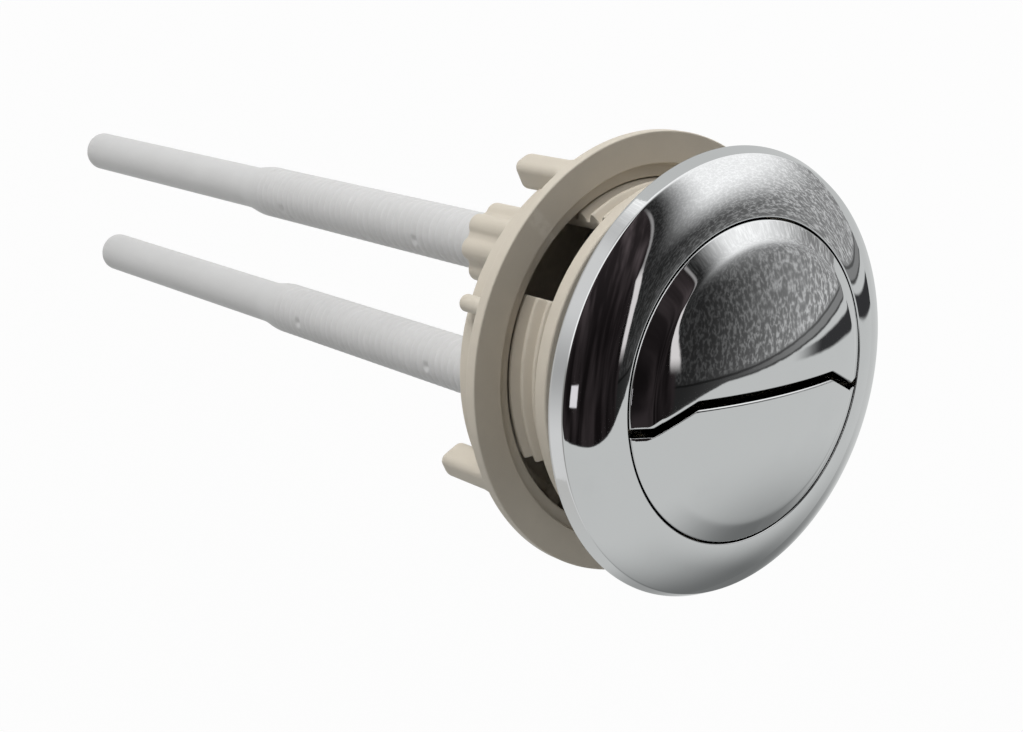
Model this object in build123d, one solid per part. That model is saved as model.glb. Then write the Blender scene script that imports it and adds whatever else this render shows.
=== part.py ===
from build123d import *
import math
import os

# Dual flush push button for a cistern lid, with two adjustable push rods.
# Millimetres, +Z up. The origin is on the axis, on the plane where the bezel rim sits on the lid.

# Push rods
ROD_THREAD_RADIUS = 4.3
ROD_PLAIN_RADIUS = 3.6
ROD_THREAD_LENGTH = 77.0
ROD_CONE_LENGTH = 6.4
ROD_PLAIN_LENGTH = 59.2
ROD_CHAMFER = 0.5

# Adjusters, the lobed nuts on the rods
ADJUSTER_LENGTH = 12.0
ADJUSTER_WALL = 0.95
LOBE_COUNT = 8
LOBE_RADIUS = 1.7
LOBE_DEPTH = 0.9
ADJUSTER_CHAMFER = 0.5
SNAP_COLLAR_WALL = 1.2
SNAP_COLLAR_HEIGHT = 5.0

# Plungers, springs and retaining clips
STEM_WALL = 1.05
PLUG_HEIGHT = 4.0
PLUG_WEB = 3.0
PLATE_TOP = 1.0
PLATE_THICKNESS = 2.0
PLATE_MARGIN = 0.25
PLATE_HALF_GAP = 1.4
BEAD_DEPTH = 0.4
BEAD_HEIGHT = 1.0
BEAD_FROM_END = 1.8
SPRING_WIRE = 1.0
SPRING_TURNS = 6.0
SPRING_PRESSED_LENGTH = 14.0
PRESS_TRAVEL = 7.0
CLIP_REACH = 1.8
CLIP_THICKNESS = 1.0
CLIP_OPENING = 70.0
CLIP_GROOVE_DEPTH = 0.5

# Button caps
CAP_WALL = 1.5
SKIRT_DEPTH = 2.5
EDGE_BREAK = 0.3
BEVEL_WIDTH = 2.8
BEVEL_RISE = 1.6
CROWN_RISE = 2.7
SOCKET_WALL = 1.4
SPLIT_WIDTH = 1.1
SPLIT_MIDDLE_Y = -0.26
SPLIT_OUTER_Y = -3.1
SPLIT_INNER_KINK = 12.3
SPLIT_OUTER_KINK = 18.2
SPLIT_WALL_LIFT = 1.5

# Bezel ring
RIM_OVERLAP = 3.4
RIM_FLARE = 0.9
EDGE_HEIGHT = 1.8
DOME_HEIGHT = 5.0
DOME_SAG = 0.55
BEZEL_WALL = 1.5
SEAT_WIDTH = 2.2
GUIDE_WALL = 1.2
GUIDE_DEPTH = 3.0
COLLAR_GAP = 0.9
COLLAR_WALL = 1.4
COLLAR_DEPTH = 5.4
LEG_ANGLE = 22.0
HOOK_REACH = 0.9
HOOK_HEIGHT = 2.9
HOOK_LEAD = 1.6

# Threaded body
BODY_WALL = 1.2
RING_STEP = 1.7
RING_HEIGHT = 2.1
THREAD_DEPTH = 1.2
THREAD_PITCH = 2.3
THREAD_CREST = 0.4
THREAD_FOOT = 2.0
THREAD_SUNK = 0.3
THREAD_RUN_OUT = 0.6
WINDOW_ANGLE = 30.0
WINDOW_FROM_X = 43.0
WINDOW_SILL = 2.5
WINDOW_CORNER = 1.6
FLOOR_THICKNESS = 2.0
GUIDE_TUBE_HEIGHT = 7.5
GUIDE_TUBE_WALL = 1.3

# Clamp nut
CLAMP_GAP = 13.6
NUT_HEIGHT = 8.2
NUT_WALL = 2.7
NUT_CHAMFER = 0.8
FLANGE_REACH = 3.5
FLANGE_THICKNESS = 1.7
RECESS_STEP = 1.85
RECESS_DEPTH = 0.9
LUG_COUNT = 4
LUG_TURN = 27.5
LUG_WIDTH = 3.6
LUG_LENGTH = 9.9
LUG_REACH = 3.2
LUG_CORNER = 1.3
LUG_ROOT = 1.6
PEG_TURN = 42.9
PEG_RADIUS = 1.15
PEG_REACH = 1.6
PEG_LENGTH = 4.8
PEG_ROUND = 0.4

# The two sides: how far each plunger reaches under the body, and how far its rod stands in it
SIDES = {
    "full_flush": {"sign": 1, "stem_reach": 11.6, "rod_above": 3.7},
    "half_flush": {"sign": -1, "stem_reach": 8.0, "rod_above": 4.8},
}

# Clearances, and how far a cutting block runs past the faces it cuts
BUTTON_GAP = 0.4
BODY_GAP = 0.2
SKIRT_CLEARANCE = 0.8
SPRING_CLEARANCE = 0.35
RUNNING_CLEARANCE = 0.1
SNAP_CLEARANCE = 0.2
THREAD_CLEARANCE = 0.2
ROD_CLEARANCE = 0.15
FACE_CLEARANCE = 0.1
LEG_SLOT_MARGIN = 3.0
CUT_MARGIN = 1.0

# Radii that follow, from the rods outwards to the nut
ADJUSTER_BORE = ROD_THREAD_RADIUS + ROD_CLEARANCE
ADJUSTER_ROOT = ADJUSTER_BORE + ADJUSTER_WALL
ADJUSTER_CREST = ADJUSTER_ROOT + LOBE_DEPTH
STEM_BORE = ADJUSTER_BORE + RUNNING_CLEARANCE
STEM_RADIUS = STEM_BORE + STEM_WALL
BEAD_RADIUS = STEM_RADIUS + BEAD_DEPTH
SNAP_GROOVE_RADIUS = BEAD_RADIUS + SNAP_CLEARANCE
SNAP_COLLAR_RADIUS = SNAP_GROOVE_RADIUS + SNAP_COLLAR_WALL
CLIP_BORE = STEM_RADIUS - CLIP_GROOVE_DEPTH + FACE_CLEARANCE
CLIP_RADIUS = STEM_RADIUS + CLIP_REACH
GUIDE_HOLE = STEM_RADIUS + RUNNING_CLEARANCE
GUIDE_TUBE_RADIUS = GUIDE_HOLE + GUIDE_TUBE_WALL
SPRING_RADIUS = GUIDE_TUBE_RADIUS + SPRING_CLEARANCE + SPRING_WIRE / 2
PLATE_RADIUS = SPRING_RADIUS + SPRING_WIRE / 2 + PLATE_MARGIN
ROD_OFFSET = PLATE_RADIUS + PLATE_HALF_GAP
BUTTON_RADIUS = ROD_OFFSET + PLATE_RADIUS + SKIRT_CLEARANCE + CAP_WALL
CREASE_RADIUS = BUTTON_RADIUS - BEVEL_WIDTH
BEZEL_BORE = BUTTON_RADIUS + BUTTON_GAP
GUIDE_OUTER = BEZEL_BORE + GUIDE_WALL
COLLAR_BORE = GUIDE_OUTER + COLLAR_GAP
COLLAR_RADIUS = COLLAR_BORE + COLLAR_WALL
BODY_BORE = BEZEL_BORE + BODY_GAP
THREAD_ROOT_RADIUS = BODY_BORE + BODY_WALL
THREAD_RADIUS = THREAD_ROOT_RADIUS + THREAD_DEPTH
RING_RADIUS = THREAD_RADIUS + RING_STEP
EDGE_RADIUS = RING_RADIUS + RIM_OVERLAP
RIM_RADIUS = EDGE_RADIUS + RIM_FLARE
SEAT_BORE = RIM_RADIUS - SEAT_WIDTH
NUT_BORE = THREAD_RADIUS + THREAD_CLEARANCE
RECESS_RADIUS = NUT_BORE + RECESS_STEP
NUT_COLLAR_RADIUS = NUT_BORE + NUT_WALL
FLANGE_RADIUS = NUT_COLLAR_RADIUS + FLANGE_REACH

# Heights that follow, from the crown down to the adjusters
CREASE_HEIGHT = DOME_HEIGHT + BEVEL_RISE
CROWN_HEIGHT = CREASE_HEIGHT + CROWN_RISE
PLATE_BOTTOM = PLATE_TOP - PLATE_THICKNESS
BODY_TOP = -COLLAR_DEPTH
RING_BOTTOM = BODY_TOP - RING_HEIGHT
FLOOR_TOP = PLATE_BOTTOM - PRESS_TRAVEL - SPRING_PRESSED_LENGTH
BODY_BOTTOM = FLOOR_TOP - FLOOR_THICKNESS
WINDOW_BOTTOM = FLOOR_TOP + WINDOW_SILL
CLIP_TOP = BODY_BOTTOM - FACE_CLEARANCE
NUT_FACE = -CLAMP_GAP
NUT_BOTTOM = NUT_FACE - NUT_HEIGHT
FLANGE_REAR = NUT_FACE - FLANGE_THICKNESS

WINDOW_CENTRES = [WINDOW_FROM_X, 180 - WINDOW_FROM_X, 180 + WINDOW_FROM_X, -WINDOW_FROM_X]


def turned(points):
    """Turn a closed outline of (radius, height) points about the Z axis."""
    face = make_face(Polyline([(r, 0, z) for r, z in points], close=True))
    return revolve(face, Axis.Z)


def tube(outer, inner, bottom, top):
    """A straight tube on the Z axis between two heights."""
    return turned([(inner, bottom), (outer, bottom), (outer, top), (inner, top)])


def bar(radius, bottom, top):
    """A solid round bar on the Z axis between two heights."""
    return Pos(0, 0, bottom) * extrude(Circle(radius), top - bottom)


def sector(radius, angle, bottom, top):
    """A wedge centred on +X, used to keep or cut one angle of a ring."""
    half_width = radius * math.tan(math.radians(angle / 2))
    face = make_face(Polyline([(0, 0), (radius, -half_width), (radius, half_width)], close=True))
    return Pos(0, 0, bottom) * extrude(face, top - bottom)


def on_side(side, solid):
    """Move a piece from the main axis to its rod's axis."""
    return Pos(0, side["sign"] * ROD_OFFSET, 0) * solid


def shoulder(side):
    """The height of the step inside an adjuster, just under the plunger's end."""
    return BODY_BOTTOM - side["stem_reach"]


def make_bezel():
    """The chromed ring: rim, dome, a guide wall for the buttons, a collar and four snap legs."""
    chord_r = EDGE_RADIUS - BEZEL_BORE
    chord_z = DOME_HEIGHT - EDGE_HEIGHT
    chord = math.hypot(chord_r, chord_z)
    radius = (chord**2 / 4 + DOME_SAG**2) / (2 * DOME_SAG)
    depth = radius - DOME_SAG
    centre_r = (EDGE_RADIUS + BEZEL_BORE) / 2 - depth * chord_z / chord
    centre_z = (EDGE_HEIGHT + DOME_HEIGHT) / 2 - depth * chord_r / chord

    def on_arc(arc_radius, r):
        return (r, 0, centre_z + math.sqrt(arc_radius**2 - (r - centre_r) ** 2))

    def arc(arc_radius, r_from, r_to):
        middle = on_arc(arc_radius, (r_from + r_to) / 2)
        return ThreePointArc(on_arc(arc_radius, r_from), middle, on_arc(arc_radius, r_to))

    under = radius - BEZEL_WALL
    outline = [
        Line((RIM_RADIUS, 0, 0), (EDGE_RADIUS, 0, EDGE_HEIGHT)),
        arc(radius, EDGE_RADIUS, BEZEL_BORE),
        Polyline(
            (BEZEL_BORE, 0, DOME_HEIGHT),
            (BEZEL_BORE, 0, -GUIDE_DEPTH),
            (GUIDE_OUTER, 0, -GUIDE_DEPTH),
            on_arc(under, GUIDE_OUTER),
        ),
        arc(under, GUIDE_OUTER, COLLAR_BORE),
        Polyline(
            on_arc(under, COLLAR_BORE),
            (COLLAR_BORE, 0, BODY_TOP),
            (COLLAR_RADIUS, 0, BODY_TOP),
            on_arc(under, COLLAR_RADIUS),
        ),
        arc(under, COLLAR_RADIUS, SEAT_BORE),
        Polyline(on_arc(under, SEAT_BORE), (SEAT_BORE, 0, 0), (RIM_RADIUS, 0, 0)),
    ]
    edges = [edge for piece in outline for edge in piece.edges()]
    ring = revolve(make_face(Wire(edges)), Axis.Z)

    hook_top = RING_BOTTOM - FACE_CLEARANCE
    hook_bottom = hook_top - HOOK_HEIGHT
    leg = turned(
        [
            (BEZEL_BORE, -GUIDE_DEPTH),
            (BEZEL_BORE, hook_bottom),
            (GUIDE_OUTER, hook_bottom),
            (GUIDE_OUTER + HOOK_REACH, hook_bottom + HOOK_LEAD),
            (GUIDE_OUTER + HOOK_REACH, hook_top),
            (GUIDE_OUTER, hook_top),
            (GUIDE_OUTER, -GUIDE_DEPTH),
        ]
    )
    leg &= sector(RIM_RADIUS, LEG_ANGLE, hook_bottom - CUT_MARGIN, CUT_MARGIN)
    for angle in WINDOW_CENTRES:
        ring += Rot(0, 0, angle) * leg
    return ring


def cap_blank():
    """Both caps as one solid piece: skirt, bevel and crowned face."""
    side = Polyline(
        (0, 0, -SKIRT_DEPTH),
        (BUTTON_RADIUS, 0, -SKIRT_DEPTH),
        (BUTTON_RADIUS, 0, DOME_HEIGHT - EDGE_BREAK),
        (BUTTON_RADIUS - EDGE_BREAK, 0, DOME_HEIGHT),
        (CREASE_RADIUS, 0, CREASE_HEIGHT),
    )
    half_way = (CREASE_RADIUS / 2, 0, CROWN_HEIGHT - CROWN_RISE / 4)
    face = ThreePointArc((CREASE_RADIUS, 0, CREASE_HEIGHT), half_way, (0, 0, CROWN_HEIGHT))
    axis = Line((0, 0, CROWN_HEIGHT), (0, 0, -SKIRT_DEPTH))
    return revolve(make_face(Wire(list(side.edges()) + [face.edge(), axis.edge()])), Axis.Z)


def cap_hollow():
    """The hollow under both caps, one wall inside the blank."""
    top_r = CREASE_RADIUS - CAP_WALL
    rim_r = BUTTON_RADIUS - CAP_WALL
    rim_z = DOME_HEIGHT - CAP_WALL
    top_z = CREASE_HEIGHT - CAP_WALL
    side = Polyline((0, 0, -SKIRT_DEPTH), (rim_r, 0, -SKIRT_DEPTH), (rim_r, 0, rim_z), (top_r, 0, top_z))
    half_way = (top_r / 2, 0, top_z + CROWN_RISE * 3 / 4)
    face = ThreePointArc((top_r, 0, top_z), half_way, (0, 0, CROWN_HEIGHT - CAP_WALL))
    axis = Line((0, 0, CROWN_HEIGHT - CAP_WALL), (0, 0, -SKIRT_DEPTH))
    return revolve(make_face(Wire(list(side.edges()) + [face.edge(), axis.edge()])), Axis.Z)


def split_line(shift):
    """The stepped split between the buttons, moved along Y."""
    end = RIM_RADIUS
    outer = SPLIT_OUTER_Y + shift
    middle = SPLIT_MIDDLE_Y + shift
    return [
        (-end, outer),
        (-SPLIT_OUTER_KINK, outer),
        (-SPLIT_INNER_KINK, middle),
        (SPLIT_INNER_KINK, middle),
        (SPLIT_OUTER_KINK, outer),
        (end, outer),
    ]


def make_button(side):
    """One chromed cap: crowned face, bevel, skirt, a wall along the split and a plunger socket."""
    sign = side["sign"]
    blank = cap_blank()
    near = split_line(sign * SPLIT_WIDTH / 2)
    far = split_line(sign * (SPLIT_WIDTH / 2 + CAP_WALL))
    outside = [(RIM_RADIUS, sign * RIM_RADIUS), (-RIM_RADIUS, sign * RIM_RADIUS)]
    half = extrude(make_face(Polyline(near + outside, close=True)), CROWN_HEIGHT + SKIRT_DEPTH)
    strip = extrude(make_face(Polyline(near + far[::-1], close=True)), CROWN_HEIGHT)
    shell = (blank - cap_hollow()) & (Pos(0, 0, -SKIRT_DEPTH) * half)
    wall = blank & (Pos(0, 0, PLATE_TOP + SPLIT_WALL_LIFT) * strip)
    socket = tube(GUIDE_HOLE + SOCKET_WALL, GUIDE_HOLE, PLATE_TOP, CROWN_HEIGHT)
    return shell + wall + (blank & on_side(side, socket))


def make_thread():
    """The coarse outside thread of the body, one ridge swept along a helix."""
    low = BODY_BOTTOM + THREAD_RUN_OUT + THREAD_FOOT / 2
    high = RING_BOTTOM - THREAD_RUN_OUT - THREAD_FOOT / 2
    path = Helix(pitch=THREAD_PITCH, height=high - low, radius=THREAD_ROOT_RADIUS)
    section = Plane(origin=path @ 0, x_dir=(1, 0, 0), z_dir=path % 0)
    ridge = Polyline(
        (-THREAD_SUNK, -THREAD_FOOT / 2),
        (THREAD_DEPTH, -THREAD_CREST / 2),
        (THREAD_DEPTH, THREAD_CREST / 2),
        (-THREAD_SUNK, THREAD_FOOT / 2),
        close=True,
    )
    return Pos(0, 0, low) * sweep(section * make_face(ridge), path, is_frenet=True)


def make_body():
    """The moulded body: ring, threaded tube with four windows, floor and two guide tubes."""
    body = tube(THREAD_ROOT_RADIUS, BODY_BORE, BODY_BOTTOM, BODY_TOP)
    body += make_thread()
    body += tube(RING_RADIUS, BODY_BORE, RING_BOTTOM, BODY_TOP)
    window_width = 2 * THREAD_RADIUS * math.sin(math.radians(WINDOW_ANGLE / 2))
    opening = Rectangle(window_width, RING_BOTTOM - WINDOW_BOTTOM)
    opening = fillet(opening.vertices().sort_by(Axis.Y)[:2], WINDOW_CORNER)
    start = BODY_BORE * math.cos(math.radians(WINDOW_ANGLE / 2)) - CUT_MARGIN
    centre = (start, 0, (RING_BOTTOM + WINDOW_BOTTOM) / 2)
    window = Plane(origin=centre, x_dir=(0, 1, 0), z_dir=(1, 0, 0)) * extrude(opening, RING_RADIUS - start)
    slot = tube(GUIDE_OUTER + SNAP_CLEARANCE, BODY_BORE - CUT_MARGIN, RING_BOTTOM, BODY_TOP)
    slot &= sector(RIM_RADIUS, LEG_ANGLE + LEG_SLOT_MARGIN, RING_BOTTOM, BODY_TOP)
    for angle in WINDOW_CENTRES:
        body -= Rot(0, 0, angle) * window
        body -= Rot(0, 0, angle) * slot
    body += bar(BODY_BORE, BODY_BOTTOM, FLOOR_TOP)
    guide_top = FLOOR_TOP + GUIDE_TUBE_HEIGHT
    for side in SIDES.values():
        body += on_side(side, bar(GUIDE_TUBE_RADIUS, FLOOR_TOP, guide_top))
        body -= on_side(side, bar(GUIDE_HOLE, BODY_BOTTOM, guide_top))
    return body


def make_lug():
    """One grip lug of the clamp nut, standing below its flange on the +X side."""
    blade = Pos(0, -LUG_LENGTH / 2) * Rectangle(LUG_WIDTH, LUG_LENGTH)
    blade = fillet(blade.vertices().sort_by(Axis.Y)[:2], LUG_CORNER)
    root = Pos(0, -LUG_ROOT / 2) * Rectangle(LUG_WIDTH + 2 * LUG_ROOT, LUG_ROOT)
    for end in (-1, 1):
        root -= Pos(end * (LUG_WIDTH / 2 + LUG_ROOT), -LUG_ROOT) * Circle(LUG_ROOT)
    plane = Plane(origin=(NUT_COLLAR_RADIUS - CUT_MARGIN, 0, FLANGE_REAR), x_dir=(0, 1, 0), z_dir=(1, 0, 0))
    return plane * extrude(blade + root, LUG_REACH + CUT_MARGIN)


def make_clamp_nut():
    """The moulded clamp nut: flange, collar, grip lugs and small pegs between them."""
    nut = turned(
        [
            (RECESS_RADIUS, NUT_FACE),
            (FLANGE_RADIUS, NUT_FACE),
            (FLANGE_RADIUS, FLANGE_REAR),
            (NUT_COLLAR_RADIUS, FLANGE_REAR),
            (NUT_COLLAR_RADIUS, NUT_BOTTOM + NUT_CHAMFER),
            (NUT_COLLAR_RADIUS - NUT_CHAMFER, NUT_BOTTOM),
            (NUT_BORE, NUT_BOTTOM),
            (NUT_BORE, NUT_FACE - RECESS_DEPTH),
            (RECESS_RADIUS, NUT_FACE - RECESS_DEPTH),
        ]
    )
    lug = make_lug()
    peg = bar(PEG_RADIUS, FLANGE_REAR - PEG_LENGTH, FLANGE_REAR)
    peg = fillet(peg.edges().group_by(Axis.Z)[0], PEG_ROUND)
    peg = Pos(NUT_COLLAR_RADIUS + PEG_REACH, 0, 0) * peg
    step = 360 / LUG_COUNT
    for index in range(LUG_COUNT):
        turn = LUG_TURN + index * step
        nut += Rot(0, 0, turn) * lug
        nut += Rot(0, 0, turn + PEG_TURN) * peg
    return nut


def make_plunger(side):
    """A moulded plunger: plug for the cap, spring plate, hollow stem, clip groove and snap bead."""
    end = shoulder(side) + FACE_CLEARANCE
    bead = end + BEAD_FROM_END
    groove_top = CLIP_TOP + FACE_CLEARANCE / 2
    groove_bottom = CLIP_TOP - CLIP_THICKNESS - FACE_CLEARANCE / 2
    groove = STEM_RADIUS - CLIP_GROOVE_DEPTH
    stem = turned(
        [
            (0, PLATE_BOTTOM - PLUG_WEB),
            (STEM_BORE, PLATE_BOTTOM - PLUG_WEB),
            (STEM_BORE, end),
            (STEM_RADIUS, end),
            (STEM_RADIUS, bead),
            (BEAD_RADIUS, bead),
            (BEAD_RADIUS, bead + BEAD_HEIGHT),
            (STEM_RADIUS, bead + BEAD_HEIGHT),
            (STEM_RADIUS, groove_bottom),
            (groove, groove_bottom),
            (groove, groove_top),
            (STEM_RADIUS, groove_top),
            (STEM_RADIUS, PLATE_BOTTOM),
            (PLATE_RADIUS, PLATE_BOTTOM),
            (PLATE_RADIUS, PLATE_TOP),
            (STEM_RADIUS, PLATE_TOP),
            (STEM_RADIUS, PLATE_TOP + PLUG_HEIGHT),
            (0, PLATE_TOP + PLUG_HEIGHT),
        ]
    )
    return on_side(side, stem)


def make_spring(side):
    """A return spring round the guide tube, between the floor and the spring plate."""
    bottom = FLOOR_TOP + SPRING_WIRE / 2 + FACE_CLEARANCE
    top = PLATE_BOTTOM - SPRING_WIRE / 2 - FACE_CLEARANCE
    path = Helix(pitch=(top - bottom) / SPRING_TURNS, height=top - bottom, radius=SPRING_RADIUS)
    section = Plane(origin=path @ 0, z_dir=path % 0) * Circle(SPRING_WIRE / 2)
    return on_side(side, Pos(0, 0, bottom) * sweep(section, path, is_frenet=True))


def make_clip(side):
    """An open ring in the plunger's groove, which stops the plunger under the floor."""
    ring = tube(CLIP_RADIUS, CLIP_BORE, CLIP_TOP - CLIP_THICKNESS, CLIP_TOP)
    mouth = sector(CLIP_RADIUS + CUT_MARGIN, CLIP_OPENING, CLIP_TOP - CLIP_THICKNESS, CLIP_TOP)
    return on_side(side, ring - mouth)


def make_adjuster(side):
    """A lobed nut that snaps on the plunger's end and turns on the rod's thread."""
    step = shoulder(side)
    end = step - ADJUSTER_LENGTH
    section = Circle(ADJUSTER_ROOT)
    lobe = Pos(ADJUSTER_CREST - LOBE_RADIUS, 0) * Circle(LOBE_RADIUS)
    for index in range(LOBE_COUNT):
        section += Rot(0, 0, index * 360 / LOBE_COUNT) * lobe
    lobes = Pos(0, 0, end) * extrude(section, ADJUSTER_LENGTH)
    lobes &= turned(
        [
            (0, end),
            (ADJUSTER_CREST - ADJUSTER_CHAMFER, end),
            (ADJUSTER_CREST + ADJUSTER_CHAMFER, end + 2 * ADJUSTER_CHAMFER),
            (ADJUSTER_CREST + ADJUSTER_CHAMFER, step),
            (0, step),
        ]
    )
    base = tube(SNAP_COLLAR_RADIUS, ADJUSTER_BORE, step - SNAP_COLLAR_RADIUS + ADJUSTER_ROOT, step)
    collar = tube(SNAP_COLLAR_RADIUS, STEM_RADIUS + SNAP_CLEARANCE, step, step + SNAP_COLLAR_HEIGHT)
    groove_bottom = step + FACE_CLEARANCE + BEAD_FROM_END - SNAP_CLEARANCE
    groove_top = groove_bottom + BEAD_HEIGHT + 2 * SNAP_CLEARANCE
    collar -= tube(SNAP_GROOVE_RADIUS, STEM_RADIUS, groove_bottom, groove_top)
    return on_side(side, lobes + base + collar - bar(ADJUSTER_BORE, end, step))


def make_rod(side):
    """A moulded push rod: threaded upper part, short cone and plain lower end."""
    top = shoulder(side) + side["rod_above"]
    thread_end = top - ROD_THREAD_LENGTH
    cone_end = thread_end - ROD_CONE_LENGTH
    tip = cone_end - ROD_PLAIN_LENGTH
    rod = turned(
        [
            (0, tip),
            (ROD_PLAIN_RADIUS - ROD_CHAMFER, tip),
            (ROD_PLAIN_RADIUS, tip + ROD_CHAMFER),
            (ROD_PLAIN_RADIUS, cone_end),
            (ROD_THREAD_RADIUS, thread_end),
            (ROD_THREAD_RADIUS, top - ROD_CHAMFER),
            (ROD_THREAD_RADIUS - ROD_CHAMFER, top),
            (0, top),
        ]
    )
    return on_side(side, rod)


os.makedirs("parts", exist_ok=True)
export_step(make_bezel(), "parts/bezel_ring.step")
export_step(make_body(), "parts/threaded_body.step")
export_step(make_clamp_nut(), "parts/clamp_nut.step")
for name, side in SIDES.items():
    export_step(make_button(side), f"parts/{name}_button.step")
    export_step(make_plunger(side), f"parts/{name}_plunger.step")
    export_step(make_spring(side), f"parts/{name}_spring.step")
    export_step(make_clip(side), f"parts/{name}_clip.step")
    export_step(make_adjuster(side), f"parts/{name}_adjuster.step")
    export_step(make_rod(side), f"parts/{name}_rod.step")
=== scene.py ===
import math

import bmesh
import bpy
import numpy as np
from mathutils import Matrix


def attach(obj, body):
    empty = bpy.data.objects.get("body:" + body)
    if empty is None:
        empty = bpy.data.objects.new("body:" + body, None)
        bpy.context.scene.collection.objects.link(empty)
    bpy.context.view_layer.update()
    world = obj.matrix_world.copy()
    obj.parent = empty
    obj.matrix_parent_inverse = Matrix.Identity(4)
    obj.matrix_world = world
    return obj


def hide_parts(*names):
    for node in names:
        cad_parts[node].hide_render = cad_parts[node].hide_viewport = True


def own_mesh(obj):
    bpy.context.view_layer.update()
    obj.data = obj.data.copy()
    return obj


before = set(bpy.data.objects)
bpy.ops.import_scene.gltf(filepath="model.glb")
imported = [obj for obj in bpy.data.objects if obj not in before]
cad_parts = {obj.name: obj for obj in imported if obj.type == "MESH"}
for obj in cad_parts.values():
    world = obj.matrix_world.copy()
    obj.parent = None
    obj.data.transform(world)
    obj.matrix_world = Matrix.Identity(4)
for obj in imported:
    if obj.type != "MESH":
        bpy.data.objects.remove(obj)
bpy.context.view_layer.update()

# Threaded body. One beige injection moulding: a top ring that stops under the bezel, a coarse
# thread cut through by four windows, a floor with two guide tubes for the plungers.
# The bezel's four legs hook into its windows, and the clamp nut runs on its thread.
MM = 0.001
BODY_BORE = 21.5
BODY_ROOT = 22.7
BODY_TOP = -5.4
RING_RADIUS = 25.6
RING_BOTTOM = -7.5
WINDOW_SILL = -19.5
WINDOW_CORNER = 1.6
BODY_BOTTOM = -24.0
FLOOR_TOP = -22.0
GUIDE_HOLE = 5.7
GUIDE_RADIUS = 7.0
GUIDE_TOP = -14.5
FLOOR_FLAT = 9.9
ROD_OFFSET = 10.0
LEG_ANGLES = np.radians([43.0, 137.0, 223.0, 317.0])
LEG_SLOT_HALF = math.radians(12.5)
LEG_SLOT_DEPTH = 1.2
WALLS = [(0.0, 55.0), (90.0, 63.0), (180.0, 55.0), (270.0, 63.0)]
BODY_THREAD = {"low": -22.4, "turns": 5.78, "pitch": 2.3, "depth": 1.2, "foot": 2.0, "crest": 0.4}


def rounded(corners, closed=True, steps=5):
    """An outline of (radius, height) points from corners of (radius, height, rounding), in mm.
    A rounded corner becomes the arc that touches both of its sides, with one more point a little
    way along each side, so that the flats next to it are still shaded as flats."""
    corners = np.array(corners, float)
    points, rounding = corners[:, :2], corners[:, 2:]
    back = np.roll(points, 1, axis=0) - points
    ahead = np.roll(points, -1, axis=0) - points
    back_length = np.linalg.norm(back, axis=1, keepdims=True)
    ahead_length = np.linalg.norm(ahead, axis=1, keepdims=True)
    back, ahead = back / back_length, ahead / ahead_length
    half = np.arccos(np.clip((back * ahead).sum(1, keepdims=True), -1, 1)) / 2
    reach = rounding / np.tan(half)
    middle = back + ahead
    middle /= np.maximum(np.linalg.norm(middle, axis=1, keepdims=True), 1e-9)
    centre = (points + middle * rounding / np.sin(half))[:, None]
    turn = (np.pi - 2 * half)[:, None]
    share = np.linspace(0, 1, steps)[None, :, None]
    start = (points + back * reach)[:, None] - centre
    end = (points + ahead * reach)[:, None] - centre
    arc = np.sin((1 - share) * turn) * start + np.sin(share * turn) * end
    arc = centre + arc / np.maximum(np.sin(turn), 1e-9)
    before = points + back * (reach + np.minimum(0.12, 0.2 * back_length))
    after = points + ahead * (reach + np.minimum(0.12, 0.2 * ahead_length))
    outline = np.concatenate([before[:, None], arc, after[:, None]], axis=1)
    keep = np.repeat(rounding > 0, steps + 2, axis=1)
    keep[:, 1] = True
    outline = outline[keep]
    return np.vstack([outline, outline[:1]]) if closed else outline


def rod_axis(side):
    """Where the axis of one push rod stands in the plan."""
    return 0.0, side * ROD_OFFSET


def whole_turn(sides):
    """The angles of a whole turn as a column, with both ends."""
    return np.linspace(0, 2 * np.pi, sides + 1)[:, None]


def polar(angle, r, z, centre=(0.0, 0.0)):
    """Points about an upright axis: x = cx + r cos a, y = cy + r sin a, and a height."""
    x, y = centre[0] + r * np.cos(angle), centre[1] + r * np.sin(angle)
    return np.stack(np.broadcast_arrays(x, y, z), axis=-1)


def turned(outline, sides, centre=(0.0, 0.0)):
    """The outline carried round an upright axis for a whole turn."""
    return polar(whole_turn(sides), outline[:, 0], outline[:, 1], centre)


def piece(name, *grids):
    """One mesh from grids of points (rows, columns, xyz in mm). Neighbours in a grid are joined by
    quads, and points in the same place are merged, which closes the seams and the poles.
    A grid whose quads enclose a negative volume is turned, so that its faces point outwards."""
    vertices, faces, count = [], [], 0
    for grid in grids:
        flat = grid.reshape(-1, 3)
        index = np.arange(len(flat)).reshape(grid.shape[:2])
        quads = np.stack([index[:-1, :-1], index[1:, :-1], index[1:, 1:], index[:-1, 1:]], axis=-1)
        quads = quads.reshape(-1, 4)
        a, b, c, d = (flat[quads[:, k]] for k in range(4))
        volume = (a * np.cross(b, c)).sum() + (a * np.cross(c, d)).sum()
        faces.append((quads if volume > 0 else quads[:, ::-1]) + count)
        vertices.append(flat * MM)
        count += len(flat)
    mesh = bpy.data.meshes.new(name)
    mesh.from_pydata(np.concatenate(vertices), [], np.concatenate(faces).tolist())
    work = bmesh.new()
    work.from_mesh(mesh)
    bmesh.ops.remove_doubles(work, verts=work.verts, dist=2e-7)
    bmesh.ops.dissolve_degenerate(work, edges=work.edges, dist=1e-8)
    work.to_mesh(mesh)
    work.free()
    mesh.shade_smooth()
    mesh.set_sharp_from_angle(angle=math.radians(42))
    made = bpy.data.objects.new(name, mesh)
    bpy.context.scene.collection.objects.link(made)
    return made


def smooth_step(x):
    """0 below 0, 1 above 1, and 3x^2 - 2x^3 between."""
    x = np.clip(x, 0, 1)
    return x * x * (3 - 2 * x)


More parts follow.
